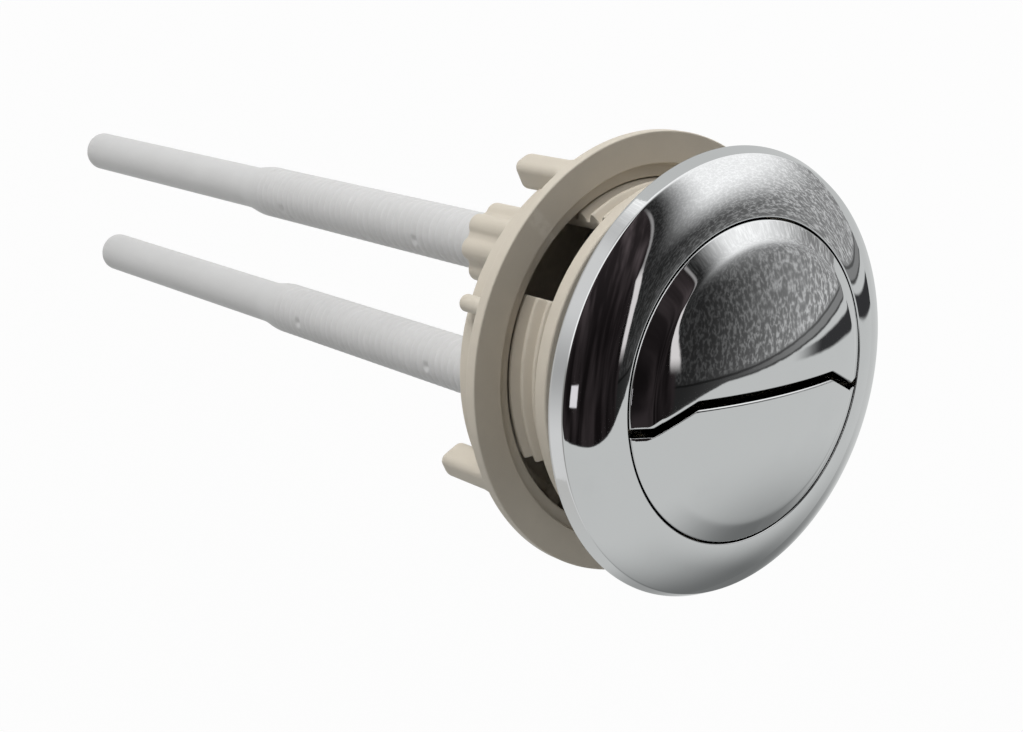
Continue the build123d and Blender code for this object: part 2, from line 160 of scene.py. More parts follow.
def edge_drop(distance, rounding):
    """How far a rounded edge falls away at a distance from its rim: a quarter circle."""
    short = rounding - np.clip(distance, 0, rounding)
    return rounding - np.sqrt(np.maximum(rounding**2 - short**2, 0))


def body_thread(angle, z):
    """The thread's height over its root: a ridge that climbs one pitch a turn, with a narrow flat
    crest and sloped sides, fading out at both ends of the helix."""
    t = BODY_THREAD
    turn = (z - t["low"]) / t["pitch"] - angle / (2 * np.pi)
    nearest = np.round(turn)
    away = np.abs(turn - nearest) * t["pitch"]
    slope = (t["foot"] / 2 - away) / ((t["foot"] - t["crest"]) / 2)
    side = 0.75 * np.clip(slope, 0, 1) + 0.25 * smooth_step(slope)
    along = nearest + angle / (2 * np.pi)
    ends = np.clip(along * 12, 0, 1) * np.clip((t["turns"] - along) * 12, 0, 1)
    return t["depth"] * side * ends


def round_trip(up, down):
    """A closed loop of columns: up one side, down the other and back to its start."""
    return np.hstack([up, down[:, ::-1], up[:, :1]])


def threaded_wall(middle, width):
    """One stretch of threaded wall between two windows: angle across, and a loop that goes up the
    outside and down the inside. Its foot flares into the sill, its side edges are rounded, the
    ridges end just before them, and both ends close on the middle of the wall."""
    across = np.sin(np.pi / 2 * np.linspace(-1, 1, 53))[:, None]
    z = np.linspace(WINDOW_SILL - 0.4, RING_BOTTOM + 0.3, 128)[None, :]
    half = np.radians(width / 2) + edge_drop(z - WINDOW_SILL, WINDOW_CORNER) / BODY_ROOT
    angle = np.radians(middle) + across * half
    edge = (1 - np.abs(across)) * half * BODY_ROOT
    outside = BODY_ROOT + body_thread(angle, z) * smooth_step(edge / 0.25) - edge_drop(edge, 0.15)
    inside = BODY_BORE + edge_drop(edge, 0.12)
    core = (outside + inside) / 2
    core = round_trip(core, core)
    radius = np.vstack([core[:1], round_trip(outside, inside), core[-1:]])
    angle = round_trip(angle, angle)
    angle = np.vstack([angle[:1], angle, angle[-1:]])
    return polar(angle, radius, round_trip(z, z))


def threaded_foot():
    """The closed band under the windows: a loop with the thread on its outside, carried round."""
    angle = whole_turn(216)
    z = np.linspace(BODY_BOTTOM, WINDOW_SILL, 46)[None, :]
    ends = np.minimum(z - BODY_BOTTOM, WINDOW_SILL - z)
    outside = BODY_ROOT + body_thread(angle, z) * smooth_step(ends / 0.7) - edge_drop(ends, 0.3)
    inside = np.full_like(outside, BODY_BORE) + edge_drop(ends, 0.2)
    return polar(angle, round_trip(outside, inside), round_trip(z, z))


def top_ring():
    """The ring under the bezel: a rounded section carried round, with its bore stepped out in the
    four slots that the bezel's legs pass through."""
    section = rounded(
        [
            (BODY_BORE, BODY_TOP, 0.15),
            (RING_RADIUS, BODY_TOP, 0.3),
            (RING_RADIUS, RING_BOTTOM, 0.3),
            (BODY_BORE, RING_BOTTOM, 0.15),
        ]
    )
    angle = whole_turn(360)
    from_legs = np.abs((angle - LEG_ANGLES + np.pi) % (2 * np.pi) - np.pi)
    from_leg = from_legs.min(axis=1, keepdims=True)
    in_slot = (from_leg < LEG_SLOT_HALF) & (section[:, 0] < BODY_BORE + 0.5)
    return polar(angle, section[:, 0] + LEG_SLOT_DEPTH * in_slot, section[:, 1])


def floor_half(side):
    """Half of the floor with its guide tube: a loop of radius and height carried round the rod's
    axis, whose outer end reaches to the wall on one side and to the middle line on the other."""
    section = rounded(
        [
            (FLOOR_FLAT, BODY_BOTTOM, 0),
            (GUIDE_HOLE, BODY_BOTTOM, 0.3),
            (GUIDE_HOLE, GUIDE_TOP, 0.25),
            (GUIDE_RADIUS, GUIDE_TOP, 0.25),
            (GUIDE_RADIUS, FLOOR_TOP, 0.5),
            (FLOOR_FLAT, FLOOR_TOP, 0),
        ],
        closed=False,
    )
    angle = whole_turn(180)
    towards = side * ROD_OFFSET * np.sin(angle)
    wall = -towards + np.sqrt(towards**2 - ROD_OFFSET**2 + (BODY_BORE + 0.4) ** 2)
    middle = (ROD_OFFSET + 0.05) / np.maximum(-side * np.sin(angle), 1e-6)
    reach = np.minimum(wall, middle)
    radius = np.repeat(section[None, :, 0], len(angle), axis=0)
    radius = np.hstack([reach, radius[:, 1:-1], reach, reach])
    height = np.append(section[:, 1], section[0, 1])
    return polar(angle, radius, height, rod_axis(side))


def connect(tree, made, inputs):
    """Fills inputs of a node, each with a value or from a socket of another node."""
    for key, value in inputs.items():
        if isinstance(value, bpy.types.NodeSocket):
            tree.links.new(value, made.inputs[key])
        else:
            made.inputs[key].default_value = value


def node(tree, kind, inputs=None, **settings):
    """Adds one shader node with its settings and inputs."""
    made = tree.nodes.new(kind)
    for key, value in settings.items():
        setattr(made, key, value)
    connect(tree, made, inputs or {})
    return made


def effect(name, inputs, outputs):
    """An empty shader node group with named inputs, each with its default, and named outputs."""
    group = bpy.data.node_groups.new(name, "ShaderNodeTree")
    for label, kind, default in inputs:
        socket = group.interface.new_socket(label, in_out="INPUT", socket_type="NodeSocket" + kind)
        socket.default_value = default
    for label, kind in outputs:
        group.interface.new_socket(label, in_out="OUTPUT", socket_type="NodeSocket" + kind)
    return group, node(group, "NodeGroupInput").outputs, node(group, "NodeGroupOutput")


def math_node(tree, operation, a, b=0.0):
    """One step of arithmetic between sockets or numbers."""
    return node(tree, "ShaderNodeMath", {0: a, 1: b}, operation=operation).outputs[0]


def weighted(tree, *parts):
    """The sum of values, each taken times its weight."""
    total, *others = (math_node(tree, "MULTIPLY", value, weight) for value, weight in parts)
    for term in others:
        total = math_node(tree, "ADD", total, term)
    return total


def noise(tree, vector, scale, detail=2.0, roughness=0.5):
    """Soft noise from 0 to 1, with its scale in cycles per metre."""
    inputs = {"Vector": vector, "Scale": scale, "Detail": detail, "Roughness": roughness}
    return node(tree, "ShaderNodeTexNoise", inputs).outputs["Fac"]


def stretched(tree, vector, scale, turn=(0.0, 0.0, 0.0)):
    """A place or a direction scaled along each axis and then turned about the axes."""
    inputs = {"Vector": vector, "Rotation": turn, "Scale": scale}
    return node(tree, "ShaderNodeMapping", inputs).outputs[0]


def scaled(tree, colour, level):
    """A colour made lighter or darker by a level."""
    inputs = {0: colour, "Scale": level}
    return node(tree, "ShaderNodeVectorMath", inputs, operation="SCALE").outputs[0]


def ramp(tree, value, low, high):
    """A smooth mask that runs from 0 at low to 1 at high."""
    inputs = {"Value": value, "From Min": low, "From Max": high}
    made = node(tree, "ShaderNodeMapRange", inputs, interpolation_type="SMOOTHSTEP")
    return made.outputs["Result"]


def blend_colour(tree, share, a, b):
    """Two colours mixed by a mask."""
    return node(tree, "ShaderNodeMix", {0: share, 6: a, 7: b}, data_type="RGBA").outputs[2]


def moulding_effect():
    """The skin of an injection moulding: slow flow clouds in the colour, sparse dark specks of
    filler, and a fine spark-eroded grain in the roughness and the height."""
    group, given, out = effect(
        "moulded skin",
        [
            ("Colour", "Color", (0.7, 0.7, 0.7, 1)),
            ("Clouds", "Float", 0.1),
            ("Gloss", "Float", 0.4),
        ],
        [("Colour", "Color"), ("Roughness", "Float"), ("Height", "Float")],
    )
    place = node(group, "ShaderNodeTexCoord").outputs["Object"]
    clouds = noise(group, place, 130.0, 4.0, 0.6)
    streaks = noise(group, stretched(group, place, (1, 1, 0.25)), 420.0, 3.0)
    flow = weighted(group, (clouds, 0.65), (streaks, 0.35))
    shade = math_node(group, "MULTIPLY", math_node(group, "SUBTRACT", flow, 0.5), given["Clouds"])
    level = math_node(group, "ADD", math_node(group, "MULTIPLY", shade, 2.0), 1.0)
    tinted = scaled(group, given["Colour"], level)
    specks = ramp(group, noise(group, place, 2600.0, 1.0), 0.74, 0.80)
    specks = math_node(group, "MULTIPLY", specks, given["Clouds"])
    colour = blend_colour(group, specks, tinted, (0.28, 0.22, 0.16, 1))
    grain = noise(group, place, 5200.0, 3.0, 0.6)
    uneven = math_node(group, "SUBTRACT", grain, 0.5)
    rough = weighted(group, (uneven, 0.22), (given["Gloss"], 1.0), (shade, 0.5))
    height = weighted(group, (grain, 1.0), (clouds, 0.8))
    connect(group, out, {"Colour": colour, "Roughness": rough, "Height": height})
    return group


def wear_and_hollow_shade_effect():
    """Edges that have been handled: a mask of the convex edges, broken up by noise. It also gives
    a mask of the concave hollows, for painted shade.
    """
    group, given, out = effect(
        "handled edges and painted hollow shade",
        [("Reach", "Float", 0.5)],
        [("Mask", "Float"), ("Painted Hollow Shade", "Float")],
    )
    place = node(group, "ShaderNodeTexCoord").outputs["Object"]
    sharp = node(group, "ShaderNodeNewGeometry").outputs["Pointiness"]
    edges = ramp(group, sharp, 0.51, 0.60)
    broken = ramp(group, noise(group, place, 900.0, 4.0, 0.65), 0.30, 0.62)
    worn = math_node(group, "MULTIPLY", edges, broken)
    worn = math_node(group, "MULTIPLY", worn, given["Reach"])
    # Painted shade: concave places get a mask that darkens their colour.
    hollow_shade = math_node(group, "SUBTRACT", 1.0, ramp(group, sharp, 0.40, 0.49))
    connect(group, out, {"Mask": worn, "Painted Hollow Shade": hollow_shade})
    return group


moulded_skin = moulding_effect()
handled_edges_and_hollow_shade = wear_and_hollow_shade_effect()


def new_material(name):
    """A new material, its node tree and its shader."""
    material = bpy.data.materials.new(name)
    material.use_nodes = True
    return material, material.node_tree, material.node_tree.nodes["Principled BSDF"]


def relief(tree, shader, height, strength, depth):
    """Raises the surface by a height socket, with its full depth in metres."""
    inputs = {"Height": height, "Strength": strength, "Distance": depth}
    bump = node(tree, "ShaderNodeBump", inputs)
    connect(tree, shader, {"Normal": bump.outputs["Normal"]})


def moulded_plastic(name, colour, clouds, gloss, edge_colour, hollow_shade_colour, grain):
    """A satin moulded plastic: the moulded skin, paler worn edges and painted shade that darkens
    the hollows.
    """
    material, tree, shader = new_material(name)
    inputs = {"Colour": (*colour, 1), "Clouds": clouds, "Gloss": gloss}
    skin = node(tree, "ShaderNodeGroup", inputs, node_tree=moulded_skin).outputs
    worn = node(tree, "ShaderNodeGroup", {"Reach": 0.55}, node_tree=handled_edges_and_hollow_shade).outputs
    paler = blend_colour(tree, worn["Mask"], skin["Colour"], (*edge_colour, 1))
    # Painted shade: the hollows are darkened towards a brown shade colour.
    hollow_shade_share = math_node(tree, "MULTIPLY", worn["Painted Hollow Shade"], 0.35)
    handled = blend_colour(tree, hollow_shade_share, paler, (*hollow_shade_colour, 1))
    connect(tree, shader, {"Base Color": handled, "Roughness": skin["Roughness"], "IOR": 1.49})
    relief(tree, shader, skin["Height"], grain, 0.00006)
    return material


def dress(made, material, slot, body, *nodes):
    """Gives a piece its material and body, and lets it stand for its CAD nodes. The slot is not
    used.
    """
    made.data.materials.append(material)
    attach(made, body)
    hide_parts(*nodes)


beige_plastic = moulded_plastic(
    "beige moulded plastic",
    colour=(0.58, 0.53, 0.447),
    clouds=0.10,
    gloss=0.46,
    edge_colour=(0.71, 0.665, 0.58),
    # the colour of the painted shade in the hollows
    hollow_shade_colour=(0.30, 0.25, 0.19),
    grain=0.35,
)
body = piece(
    "threaded_body_moulding",
    top_ring(),
    *(threaded_wall(middle, width) for middle, width in WALLS),
    threaded_foot(),
    floor_half(1),
    floor_half(-1),
)
dress(body, beige_plastic, "beige_plastic", "housing", "threaded_body")

# Return springs. Two coils of drawn steel wire, each slipped over a guide tube and held between
# the floor of the body and the plate of its plunger. In the real switch they shorten as their
# button is pressed; here each coil keeps one length.
SPRING = {"radius": 7.85, "wire": 0.5, "bottom": -21.4, "top": -1.6, "turns": 6.0}
SIDES = {"full_flush": 1, "half_flush": -1}


def coil(side):
    """A round wire carried along a helix: the ring of the wire stands on the outward direction and
    on the direction square to it and to the path, and both ends close on the wire's middle."""
    s = SPRING
    angle = np.linspace(0, 2 * np.pi * s["turns"], 361)[:, None]
    round_wire = np.linspace(0, 2 * np.pi, 15)[None, :]
    rise = (s["top"] - s["bottom"]) / (2 * np.pi * s["turns"])
    lean = math.hypot(s["radius"], rise)
    thick = np.full_like(angle, s["wire"])
    thick[[0, -1]] = 0.0
    out = thick * np.cos(round_wire)
    up = thick * np.sin(round_wire)
    radius = s["radius"] + out
    x = radius * np.cos(angle) + up * np.sin(angle) * rise / lean
    y = radius * np.sin(angle) - up * np.cos(angle) * rise / lean
    z = s["bottom"] + rise * angle + up * s["radius"] / lean
    return np.stack([x, side * ROD_OFFSET + y, z], axis=-1)


def spring_steel():
    """Drawn wire: bright steel with fine draw lines along it and a thin brown film in places."""
    material, tree, shader = new_material("drawn spring steel")
    place = node(tree, "ShaderNodeTexCoord").outputs["Object"]
    lines = noise(tree, stretched(tree, place, (1, 1, 9)), 900.0, 3.0)
    film = ramp(tree, noise(tree, place, 260.0, 4.0, 0.6), 0.52, 0.72)
    colour = blend_colour(tree, film, (0.52, 0.53, 0.54, 1), (0.34, 0.30, 0.26, 1))
    rough = math_node(tree, "ADD", math_node(tree, "MULTIPLY", lines, 0.22), 0.18)
    connect(tree, shader, {"Base Color": colour, "Roughness": rough, "Metallic": 1.0})
    relief(tree, shader, lines, 0.25, 0.00004)
    return material


wire_steel = spring_steel()
for name, side in SIDES.items():
    spring = piece(f"{name}_return_spring", coil(side))
    dress(spring, wire_steel, "spring_steel", "housing", f"{name}_spring")
    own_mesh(spring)

# Plungers and their clips. Each plunger is a beige moulding with a plug in its button's socket,
# a plate on the spring and a hollow stem down through the guide tube; an open steel ring snapped
# into the stem's groove stops it under the floor, and a bead at its end holds the adjuster.
STEM_RADIUS = 5.6
STEM_BORE = 4.55
STEM_ENDS = {"full_flush": -35.5, "half_flush": -31.9}
PLUG_TOP = 5.0
STEM_TOP = -4.0
PLATE_RADIUS = 8.6
PLATE_HALF = 1.0
BEAD = {"radius": 6.0, "height": 1.0, "from_end": 1.8}
CLIP_GROOVE = {"radius": 5.1, "bottom": -25.15, "top": -24.05}
CLIP = {"inner": 5.2, "outer": 7.4, "bottom": -25.1, "top": -24.1, "mouth": 35.0}


def plunger(side, end):
    """The plunger's outline, plug to bead, turned about the rod's axis."""
    bead = end + BEAD["from_end"]
    bead_top = bead + BEAD["height"]
    groove, low, high = CLIP_GROOVE["radius"], CLIP_GROOVE["bottom"], CLIP_GROOVE["top"]
    outline = rounded(
        [
            (0, STEM_TOP, 0),
            (STEM_BORE, STEM_TOP, 0.3),
            (STEM_BORE, end, 0.2),
            (STEM_RADIUS, end, 0.3),
            (STEM_RADIUS, bead, 0.1),
            (BEAD["radius"], bead, 0.3),
            (BEAD["radius"], bead_top, 0.3),
            (STEM_RADIUS, bead_top, 0.1),
            (STEM_RADIUS, low, 0.1),
            (groove, low, 0.1),
            (groove, high, 0.1),
            (STEM_RADIUS, high, 0.1),
            (STEM_RADIUS, -PLATE_HALF, 0.3),
            (PLATE_RADIUS, -PLATE_HALF, 0.25),
            (PLATE_RADIUS, PLATE_HALF, 0.25),
            (STEM_RADIUS, PLATE_HALF, 0.3),
            (STEM_RADIUS, PLUG_TOP, 0.3),
            (0, PLUG_TOP, 0),
        ],
        closed=False,
    )
    return turned(outline, 96, rod_axis(side))


def open_ring(side):
    """A flat ring with a mouth: a rounded section carried round most of a turn, narrowing over its
    last millimetre, so that its two tips are round."""
    c = CLIP
    middle, half = (c["inner"] + c["outer"]) / 2, (c["outer"] - c["inner"]) / 2
    low, high = c["bottom"], c["top"]
    section = rounded([(-half, low, 0.2), (half, low, 0.2), (half, high, 0.2), (-half, high, 0.2)])
    angle = np.radians(np.linspace(c["mouth"], 360 - c["mouth"], 121))[:, None]
    from_tip = np.minimum(angle - angle[0], angle[-1] - angle) * middle
    width = np.sqrt(np.clip(1 - (1 - np.clip(from_tip / half, 0, 1)) ** 2, 0, 1))
    radius = middle + section[:, 0] * width
    height = (low + high) / 2 + (section[:, 1] - (low + high) / 2) * np.minimum(1.0, width * 20)
    return polar(angle, radius, height, rod_axis(side))


for name, side in SIDES.items():
    stem = piece(f"{name}_plunger_moulding", plunger(side, STEM_ENDS[name]))
    dress(stem, beige_plastic, "beige_plastic", name, f"{name}_plunger")
    ring = piece(f"{name}_stem_clip", open_ring(side))
    dress(ring, wire_steel, "spring_steel", name, f"{name}_clip")

# Button caps. Two chromed mouldings that share one crowned face, parted by a stepped split: a
# shallow dome, a soft crease, a sloping bevel and a straight skirt that slides in the bezel.
# A wall runs down along the split, and a socket under each cap takes its plunger's plug.
CAP_RADIUS = 21.05
CAP_EDGE = 5.0
CAP_BOTTOM = -2.5
CAP_WALL = 1.5
CREASE_RADIUS = 18.1
CROWN_TOP = 9.3
CROWN_RADIUS = 62.0
BEVEL_SLOPE = 1.6 / 2.8
CREASE_SOFTNESS = 0.10
CAP_ROUND = 0.16
SPLIT_ROUND = {1: 0.16, -1: 0.32}
SPLIT_HALF = 0.55
SPLIT_MIDDLE = -0.26
SPLIT_OUTER = -3.1
SPLIT_KINKS = (12.3, 18.2)
SPLIT_WALL_BOTTOM = 2.5
SOCKET = {"inner": 5.7, "outer": 7.1, "bottom": 1.0, "top": 6.6}
FAN_DEPTH = 8.0
CHROME = (0.74, 0.75, 0.755, 1)
CHROME_TARNISH = (0.69, 0.70, 0.705, 1)
# Near-black colour of the painted shade on upright chrome walls.
PAINTED_WALL_SHADE_CHROME = (0.03, 0.03, 0.032, 1)


def crown(r):
    """The face's height at a radius: the lower of the dome's sphere and the bevel's cone, joined
    by a soft minimum."""
    dome = CROWN_TOP - CROWN_RADIUS + np.sqrt(CROWN_RADIUS**2 - r**2)
    bevel = CAP_EDGE + (CAP_RADIUS - r) * BEVEL_SLOPE
    apart = np.sqrt((dome - bevel) ** 2 + CREASE_SOFTNESS**2)
    return (dome + bevel - apart) / 2


def split_edge(side, count):
    """Points along one cap's edge of the split, from rim to rim, with its kinks slightly eased."""
    y_outer = SPLIT_OUTER + side * SPLIT_HALF
    end = math.sqrt(CAP_RADIUS**2 - y_outer**2)
    x = end * np.sin(np.pi / 2 * np.linspace(-1, 1, count))
    ease = 0.12
    inner = np.sqrt((np.abs(x) - SPLIT_KINKS[0]) ** 2 + ease**2) + np.abs(x) - SPLIT_KINKS[0]
    outer = np.sqrt((np.abs(x) - SPLIT_KINKS[1]) ** 2 + ease**2) + np.abs(x) - SPLIT_KINKS[1]
    slope = (SPLIT_OUTER - SPLIT_MIDDLE) / (SPLIT_KINKS[1] - SPLIT_KINKS[0])
    y = SPLIT_MIDDLE + side * SPLIT_HALF + slope * (inner - outer) / 2
    return np.stack([x, y], axis=-1)


def cap_shell(side):
    """One cap as a closed shell. Rays fan out from a point across the split; each carries a loop
    that goes up the split wall, over the face to the rim, down the skirt and back under the wall
    thickness. Rows of the face follow the crease and the rim, so that both stay true circles."""
    edge = split_edge(side, 233)
    fan = np.array([0.0, -side * FAN_DEPTH])
    ray = edge - fan
    start = np.linalg.norm(ray, axis=1, keepdims=True)
    ray = ray / start
    along = (ray @ fan)[:, None]

    def reach(radius):
        return -along + np.sqrt(np.maximum(along**2 - FAN_DEPTH**2 + radius**2, 0))

    near_crease = np.linspace(-1.0, 1.0, 15) + CREASE_RADIUS
    bevel = np.linspace(near_crease[-1], CAP_RADIUS - 0.5, 7)[1:]
    rim = CAP_RADIUS - 0.5 * (1 - np.sin(np.pi / 2 * np.linspace(0, 1, 11)))[1:]
    rows = np.maximum(reach(np.concatenate([near_crease, bevel, rim])[None, :]), start)
    dome_share = (1 - np.cos(np.pi / 2 * np.linspace(0, 1, 42)))[None, :-1]
    over = np.hstack([start + (rows[:, :1] - start) * dome_share, rows])
    last = over[:, -1:]

    def spot(distance):
        return fan[None, None, :] + distance[..., None] * ray[:, None, :]

    radius = np.linalg.norm(spot(over), axis=-1)
    square = np.abs(np.gradient(edge[:, 1], edge[:, 0]))[:, None]
    off_split = (over - start) * np.abs(ray[:, 1:]) / np.sqrt(1 + square**2)
    face = crown(radius) - edge_drop(CAP_RADIUS - radius, CAP_ROUND)
    face = face - edge_drop(off_split, SPLIT_ROUND[side])
    wall_up = np.linspace(0, 1, 5)[None, :-1]
    split_wall = SPLIT_WALL_BOTTOM + (face[:, :1] - SPLIT_WALL_BOTTOM) * wall_up
    skirt = face[:, -1:] + (CAP_BOTTOM - face[:, -1:]) * np.linspace(0, 1, 5)[None, 1:]

    room = np.clip((last - start - 2 * CAP_WALL) / 2, 0, None)
    inner_start = np.minimum(start + CAP_WALL, (start + last) / 2)
    inner_last = np.maximum(last - CAP_WALL, (start + last) / 2)
    back = np.linspace(1, 0, 24)[None, :]
    under = inner_start + (inner_last - inner_start) * back
    under_face = crown(np.linalg.norm(spot(under), axis=-1)) - CAP_WALL
    solid = CAP_BOTTOM + (SPLIT_WALL_BOTTOM - CAP_BOTTOM) * (1 - back)
    under_face = solid + (under_face - solid) * smooth_step(room / 1.5)
    ones = np.ones_like(start)
    distance = np.hstack(
        [
            start * np.ones_like(wall_up),
            over,
            last * np.ones((1, 4)),
            inner_last,
            under,
            inner_start,
            start,
        ]
    )
    height = np.hstack(
        [
            split_wall,
            face,
            skirt,
            CAP_BOTTOM * ones,
            under_face,
            SPLIT_WALL_BOTTOM * ones,
            split_wall[:, :1],
        ]
    )
    return np.concatenate([spot(distance), height[..., None]], axis=-1)


def cap_socket(side):
    """The socket under a cap: a short tube that runs up into the cap's wall."""
    s = SOCKET
    section = rounded(
        [
            (s["inner"], s["bottom"], 0.15),
            (s["outer"], s["bottom"], 0.15),
            (s["outer"], s["top"], 0),
            (s["inner"], s["top"], 0),
        ]
    )
    return turned(section, 72, rod_axis(side))


def polish_effect():
    """Handled polish: faint wiped streaks and finger haze in the roughness, and the slow wave that
    plating leaves on a moulded face."""
    group, given, out = effect(
        "handled polish",
        [("Haze", "Float", 0.05), ("Base", "Float", 0.03)],
        [("Roughness", "Float"), ("Wave", "Float"), ("Tarnish", "Float")],
    )
    place = node(group, "ShaderNodeTexCoord").outputs["Object"]
    wiped = stretched(group, place, (1, 7, 1), (0, 0, 0.6))
    streaks = ramp(group, noise(group, wiped, 220.0, 5.0, 0.65), 0.50, 0.85)
    haze = ramp(group, noise(group, place, 75.0, 4.0, 0.6), 0.46, 0.78)
    marks = weighted(group, (streaks, 0.4), (haze, 0.6))
    rough = weighted(group, (marks, given["Haze"]), (given["Base"], 1.0))
    slow, fine = noise(group, place, 190.0, 2.0), noise(group, place, 1500.0, 2.0)
    wave = weighted(group, (slow, 1.0), (fine, 0.05))
    connect(group, out, {"Roughness": rough, "Wave": wave, "Tarnish": haze})
    return group


handled_polish = polish_effect()


def chrome_plating(name, wall_shade):
    """Bright chrome on plastic: a mirror with slight haze, and the long wave of the plated skin.
    On upright walls, as in the split, the colour is darkened towards near black by a share:
    painted shade for the dark gap."""
    material, tree, shader = new_material(name)
    inputs = {"Haze": 0.05, "Base": 0.025}
    polish = node(tree, "ShaderNodeGroup", inputs, node_tree=handled_polish).outputs
    tarnish = math_node(tree, "MULTIPLY", polish["Tarnish"], 0.5)
    plated = blend_colour(tree, tarnish, CHROME, CHROME_TARNISH)
    normal = node(tree, "ShaderNodeNewGeometry").outputs["Normal"]
    level = node(tree, "ShaderNodeSeparateXYZ", {0: normal}).outputs["Z"]
    # Painted shade: upright walls are darkened towards near black.
    upright = ramp(tree, math_node(tree, "ABSOLUTE", level), 0.40, 0.10)
    share = math_node(tree, "MULTIPLY", upright, wall_shade)
    plated = blend_colour(tree, share, plated, PAINTED_WALL_SHADE_CHROME)
    rough = polish["Roughness"]
    connect(tree, shader, {"Base Color": plated, "Roughness": rough, "Metallic": 1.0})
    relief(tree, shader, polish["Wave"], 0.10, 0.0001)
    return material


# The caps' split walls get strong painted shade, the bezel's walls a little.
cap_chrome = chrome_plating("cap chrome plating", wall_shade=0.85)
for name, side in SIDES.items():
    cap = piece(f"{name}_cap", cap_shell(side), cap_socket(side))
    dress(cap, cap_chrome, "chromed_plastic", name, f"{name}_button")

# Bezel ring. One chromed moulding: a domed ring that covers the hole in the lid and sits on it
# with its rim, a guide wall round the caps, a collar that rests on the body, and four legs
# whose hooks snap under the body's ring through its windows.
RIM_RADIUS = 29.9
RIM_EDGE = (29.0, 1.8)
BEZEL_BORE = 21.3
DOME_TOP = 5.0
DOME_RADIUS = 16.08
DOME_CENTRE = (19.19, -10.94)
BEZEL_WALL = 1.5
GUIDE_OUTER = 22.5
GUIDE_BOTTOM = -3.0
COLLAR = (23.4, 24.8)
SEAT_BORE = 27.7
HOOK = {"root": -2.4, "top": -7.6, "bottom": -10.5, "lead": 1.6, "reach": 0.9, "half_angle": 11.0}


def dome_arc(radius, r):
    """Points (r, z) on the arc of the dome, or on its inside, one wall nearer the arc's centre."""
    r = np.asarray(r, float)
    return np.stack([r, DOME_CENTRE[1] + np.sqrt(radius**2 - (r - DOME_CENTRE[0]) ** 2)], axis=-1)


def bezel_ring():
    """The ring's whole outline turned about the axis: rim, dome, guide wall, collar and seat."""
    under = DOME_RADIUS - BEZEL_WALL
    dome = dome_arc(DOME_RADIUS, np.linspace(RIM_EDGE[0] - 0.45, BEZEL_BORE + 0.45, 44))
    inside = [dome_arc(under, r) for r in (GUIDE_OUTER, COLLAR[0], COLLAR[1], SEAT_BORE)]
    corners = [
        (RIM_RADIUS, 0.0, 0.18),
        (*RIM_EDGE, 0.7),
        *((*point, 0.0) for point in dome),
        (BEZEL_BORE, DOME_TOP, 0.14),
        (BEZEL_BORE, GUIDE_BOTTOM, 0.2),
        (GUIDE_OUTER, GUIDE_BOTTOM, 0.2),
        (*inside[0], 0.2),
        (*inside[1], 0.2),
        (COLLAR[0], BODY_TOP, 0.2),
        (COLLAR[1], BODY_TOP, 0.2),
        (*inside[2], 0.3),
        (*inside[3], 0.3),
        (SEAT_BORE, 0.0, 0.2),
    ]
    return turned(rounded(corners), 288)


def snap_leg(middle):
    """One leg with its hook: the section of the leg carried over a short angle, drawn in a little
    at both sides, and closed there on its middle."""
    h = HOOK
    section = rounded(
        [
            (BEZEL_BORE, h["root"], 0),
            (BEZEL_BORE, h["bottom"], 0.15),
            (GUIDE_OUTER, h["bottom"], 0.15),
            (GUIDE_OUTER + h["reach"], h["bottom"] + h["lead"], 0.2),
            (GUIDE_OUTER + h["reach"], h["top"], 0.15),
            (GUIDE_OUTER, h["top"], 0.15),
            (GUIDE_OUTER, h["root"], 0),
        ]
    )
    centre = (BEZEL_BORE + GUIDE_OUTER) / 2
    across = np.sin(np.pi / 2 * np.linspace(-1, 1, 31))[:, None]
    half = math.radians(h["half_angle"])
    edge = (1 - np.abs(across)) * half * GUIDE_OUTER
    width = 1 - edge_drop(edge, 0.25) / 0.6
    radius = centre + (section[:, 0] - centre) * width
    height = np.repeat(section[None, :, 1], len(across), axis=0)
    angle = middle + across * half
    core = np.full_like(radius[:1], centre)
    radius = np.vstack([core, radius, core])
    height = np.vstack([height[:1], height, height[-1:]])
    angle = np.vstack([angle[:1], angle, angle[-1:]])
    return polar(angle, radius, height)


bezel_chrome = chrome_plating("bezel chrome plating", wall_shade=0.15)
bezel = piece("bezel_ring_plated", bezel_ring(), *(snap_leg(middle) for middle in LEG_ANGLES))
dress(bezel, bezel_chrome, "chromed_plastic", "housing", "bezel_ring")

# Clamp nut. A beige moulding that screws up the body from below and clamps the lid: a wide thin
# flange with a shallow recess, a collar behind it, four grip lugs and four small pegs between.
NUT_FACE = -13.6
NUT_RECESS = (25.95, -14.5)
NUT_BORE = 24.1
NUT_COLLAR = 26.8
NUT_BOTTOM = -21.8
FLANGE_RADIUS = 30.3
FLANGE_REAR = -15.3
LUG = {"inner": 25.8, "outer": 30.0, "half": 1.8, "tip": -25.2}
LUG_ROUND = {"tip": 1.3, "root": 1.6, "side": 1.1}
LUG_ANGLES = np.radians(27.5 + 90.0 * np.arange(4))
PEG = {"radius": 1.15, "circle": 28.4, "tip": -20.1, "round": 0.55}
PEG_ANGLES = LUG_ANGLES + math.radians(42.9)


def nut_ring():
    """The nut's flange, recess, bore and collar as one outline turned about the axis."""
    corners = [
        (NUT_RECESS[0], NUT_FACE, 0.12),
        (FLANGE_RADIUS, NUT_FACE, 0.2),
        (FLANGE_RADIUS, FLANGE_REAR, 0.25),
        (NUT_COLLAR, FLANGE_REAR, 0.4),
        (NUT_COLLAR, NUT_BOTTOM + 0.8, 0.4),
        (NUT_COLLAR - 0.8, NUT_BOTTOM, 0.3),
        (NUT_BORE, NUT_BOTTOM, 0.25),
        (NUT_BORE, NUT_RECESS[1], 0.2),
        (NUT_RECESS[0], NUT_RECESS[1], 0.2),
    ]
    return turned(rounded(corners, steps=6), 256)


